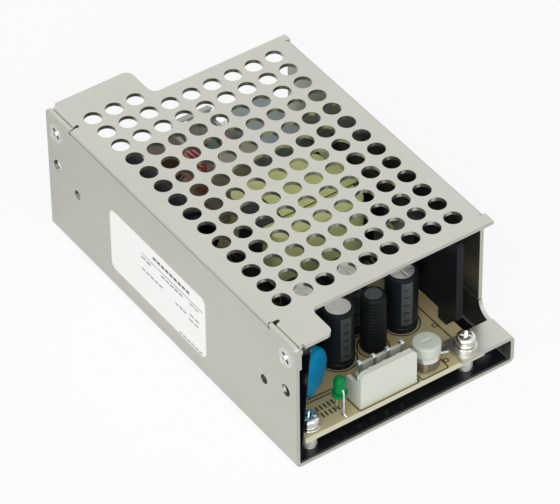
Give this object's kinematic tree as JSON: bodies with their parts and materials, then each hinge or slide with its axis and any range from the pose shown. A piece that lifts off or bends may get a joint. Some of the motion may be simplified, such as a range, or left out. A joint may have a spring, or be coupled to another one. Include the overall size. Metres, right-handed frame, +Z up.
{
  "type": "open frame power supply",
  "caption": "Switched-mode power supply board in a folded sheet-metal chassis with a perforated cover, open at both ends, with locking headers, an indicator and an adjuster.",
  "frame": {"origin": "middle of the footprint, on the resting plane under the chassis floor", "axes": "+Z up, Y along the length with the output end at -Y, labelled wall at -X"},
  "size_m": [0.0621, 0.1034, 0.037],
  "materials": {
    "plated_steel": "satin nickel-plated sheet",
    "bright_screw": "bright nickel plate",
    "black_film": "glossy insulating film",
    "board_laminate": "tan paper laminate with a clear lacquer",
    "black_anodised": "black anodised",
    "black_moulding": "moulded epoxy",
    "ferrite": "sintered ferrite",
    "green_core": "lacquered ring core",
    "yellow_tape": "polyester tape",
    "red_wire": "enamelled wire",
    "capacitor_sleeve": "shrink sleeve",
    "grey_box": "epoxy-filled box",
    "brown_box": "epoxy-filled box",
    "dark_moulding": "moulded epoxy",
    "black_sleeve": "heat-shrink over the turns",
    "blue_ceramic": "epoxy dip",
    "green_ceramic": "epoxy dip",
    "brown_phenolic": "moulded",
    "white_nylon": "moulded nylon",
    "tinned_metal": "tin plate",
    "green_lens": "tinted epoxy",
    "knob_plastic": "moulded",
    "blue_resistor": "lacquered",
    "pale_moulding": "moulded",
    "label_film": "satin polyester label"
  },
  "bodies": {
    "supply": {"chassis": "plated_steel", "cover": "plated_steel", "cover_screws": "bright_screw", "floor_film": "black_film", "standoffs": "bright_screw", "circuit_board": "board_laminate", "board_screws": "bright_screw", "spring_washers": "bright_screw", "flat_washers": "bright_screw", "output_heatsink": "black_anodised", "output_rectifier": "black_moulding", "input_heatsink": "black_anodised", "switching_transistor": "black_moulding", "transistor_screws": "bright_screw", "transformer_core": "ferrite", "transformer_winding": "yellow_tape", "transformer_tape": "yellow_tape", "transformer_bobbin": "black_moulding", "bulk_capacitor": "capacitor_sleeve", "front_capacitors": "capacitor_sleeve", "rear_capacitors": "capacitor_sleeve", "rod_choke": "black_sleeve", "mains_capacitor": "grey_box", "film_capacitor": "brown_box", "line_choke_core": "green_core", "line_choke_winding": "red_wire", "bridge_rectifier": "dark_moulding", "thermistor": "green_ceramic", "line_fuse": "brown_phenolic", "disc_capacitor": "blue_ceramic", "optocoupler": "pale_moulding", "resistors": "blue_resistor", "output_header": "white_nylon", "output_pins": "tinned_metal", "input_header": "white_nylon", "input_pins": "tinned_metal", "indicator_led": "green_lens", "led_leads": "tinned_metal", "trimmer_base": "brown_phenolic", "trimmer_contact": "tinned_metal", "rating_label": "label_film"},
    "adjuster": {"trimmer_knob": "knob_plastic"}
  },
  "joints": [
    {"name": "adjuster_turn", "type": "hinge", "parent": "supply", "child": "adjuster", "pos_m": [0.009, -0.0468, 0.011], "axis": [0, 0, 1], "range_deg": [-105, 105]}
  ]
}
